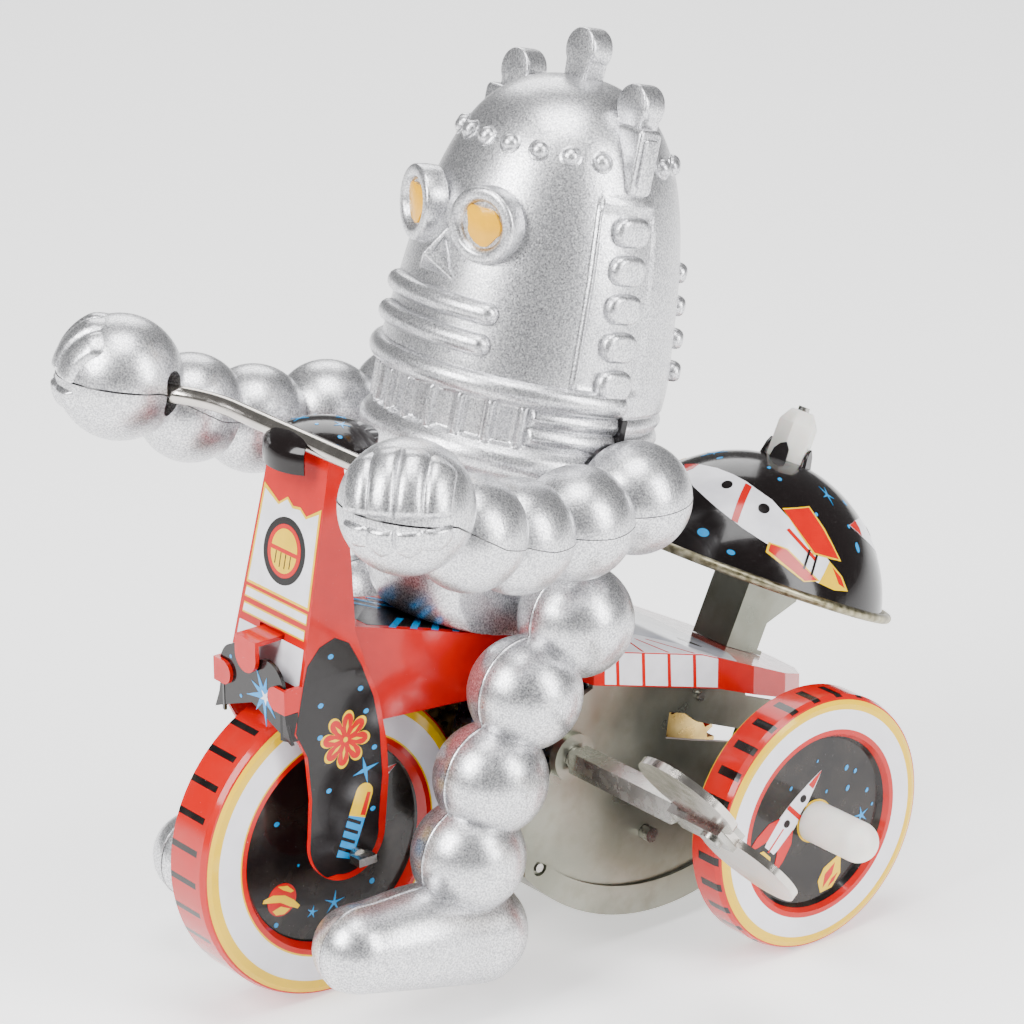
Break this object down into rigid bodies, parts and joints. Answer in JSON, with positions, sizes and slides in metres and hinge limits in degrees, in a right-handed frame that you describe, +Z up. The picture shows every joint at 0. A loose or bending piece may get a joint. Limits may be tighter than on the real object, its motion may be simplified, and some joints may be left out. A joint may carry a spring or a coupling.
{
  "type": "wind-up robot on a tricycle",
  "caption": "Clockwork toy: a jointed plastic robot leaning back on a printed-tin tricycle, with a side winding key, a gear train to the rear axle and a domed bell behind.",
  "frame": {"origin": "on the floor, in the symmetry plane, directly below the rear axle", "axes": "-Y is the way the cycle runs, +X is the rider's left, +Z is up"},
  "size_m": [0.0953, 0.1125, 0.1198],
  "materials": {
    "litho_tin": "gloss printed",
    "black_tin": "gloss printed",
    "bright_steel": "satin",
    "zinc_steel": "dull zinc plate",
    "gear_brass": "satin",
    "spring_steel": "blued",
    "rim_brass": "dull",
    "white_plastic": "gloss",
    "silver_plastic": "silver paint"
  },
  "bodies": {
    "cycle": {"fork_column": "litho_tin", "front_plate": "black_tin", "column_cap": "black_tin", "handlebar": "bright_steel", "front_axle": "bright_steel", "body_shell": "litho_tin", "motor_plate_left": "zinc_steel", "motor_plate_right": "zinc_steel", "motor_pillars": "bright_steel", "motor_bottom_cover": "zinc_steel", "bell_strut": "zinc_steel", "spindle_bearing": "gear_brass", "striker_pin": "bright_steel", "torso_front_shell": "silver_plastic", "torso_rear_shell": "silver_plastic", "torso_screw": "bright_steel"},
    "rear_wheels": {"rear_axle": "bright_steel", "axle_gear": "gear_brass", "rear_wheel_left": "litho_tin", "rear_wheel_left_inner": "litho_tin", "rear_wheel_right": "litho_tin", "rear_wheel_right_inner": "litho_tin", "hub_cap_left": "white_plastic", "hub_cap_right": "white_plastic"},
    "counter_arbor": {"countershaft": "bright_steel", "counter_pinion": "gear_brass", "counter_wheel": "gear_brass"},
    "drive_wheel": {"great_wheel": "gear_brass", "click": "bright_steel"},
    "winding": {"winding_arbor": "bright_steel", "ratchet_wheel": "bright_steel", "mainspring": "spring_steel", "key_stem": "zinc_steel", "key_yoke": "zinc_steel", "key_wings": "zinc_steel", "key_rivet": "zinc_steel"},
    "front_wheel": {"front_wheel_left": "litho_tin", "front_wheel_right": "litho_tin", "front_hub_tube": "bright_steel"},
    "bell": {"bell_dome": "litho_tin", "bell_rim": "rim_brass", "bell_bush": "white_plastic", "bell_spindle": "bright_steel"},
    "hammer": {"striker": "bright_steel"},
    "arm_left": {"arm_left_upper": "silver_plastic", "arm_left_lower": "silver_plastic"},
    "arm_right": {"arm_right_upper": "silver_plastic", "arm_right_lower": "silver_plastic"},
    "leg_left": {"leg_left_outer": "silver_plastic", "leg_left_inner": "silver_plastic"},
    "leg_right": {"leg_right_outer": "silver_plastic", "leg_right_inner": "silver_plastic"}
  },
  "joints": [
    {"name": "rear_axle_spin", "type": "hinge", "parent": "cycle", "child": "rear_wheels", "pos_m": [0, 0, 0.0175], "axis": [1, 0, 0], "continuous": true},
    {"name": "countershaft_spin", "type": "hinge", "parent": "cycle", "child": "counter_arbor", "pos_m": [0, -0.01534, 0.01465], "axis": [1, 0, 0], "continuous": true},
    {"name": "great_wheel_spin", "type": "hinge", "parent": "cycle", "child": "drive_wheel", "pos_m": [0, -0.0282, 0.0293], "axis": [1, 0, 0], "continuous": true},
    {"name": "key_wind", "type": "hinge", "parent": "cycle", "child": "winding", "pos_m": [0, -0.0282, 0.0293], "axis": [1, 0, 0], "continuous": true},
    {"name": "front_wheel_spin", "type": "hinge", "parent": "cycle", "child": "front_wheel", "pos_m": [0, -0.0565, 0.0207], "axis": [1, 0, 0], "continuous": true},
    {"name": "bell_spin", "type": "hinge", "parent": "cycle", "child": "bell", "pos_m": [0, 0.0162, 0.0389], "axis": [0, 0.4384, 0.8988], "continuous": true},
    {"name": "hammer_swing", "type": "hinge", "parent": "cycle", "child": "hammer", "pos_m": [0, 0.0218, 0.03784], "axis": [1, 0, 0], "range_deg": [-8, 20]},
    {"name": "hip_left", "type": "hinge", "parent": "cycle", "child": "leg_left", "pos_m": [0.0176, -0.0285, 0.04875], "axis": [-1, 0, 0], "range_deg": [-3, 25]},
    {"name": "hip_right", "type": "hinge", "parent": "cycle", "child": "leg_right", "pos_m": [-0.0176, -0.0285, 0.04875], "axis": [-1, 0, 0], "range_deg": [-3, 25]},
    {"name": "shoulder_left", "type": "hinge", "parent": "cycle", "child": "arm_left", "pos_m": [0.0238, -0.02405, 0.06599], "axis": [-1, 0, 0], "range_deg": [-1.5, 1.5]},
    {"name": "shoulder_right", "type": "hinge", "parent": "cycle", "child": "arm_right", "pos_m": [-0.0238, -0.02405, 0.06599], "axis": [-1, 0, 0], "range_deg": [-1.5, 1.5]}
  ],
  "couplings": [
    {"joint": "countershaft_spin", "follows": "rear_axle_spin", "ratio": -0.73333},
    {"joint": "great_wheel_spin", "follows": "rear_axle_spin", "ratio": 0.37519}
  ]
}
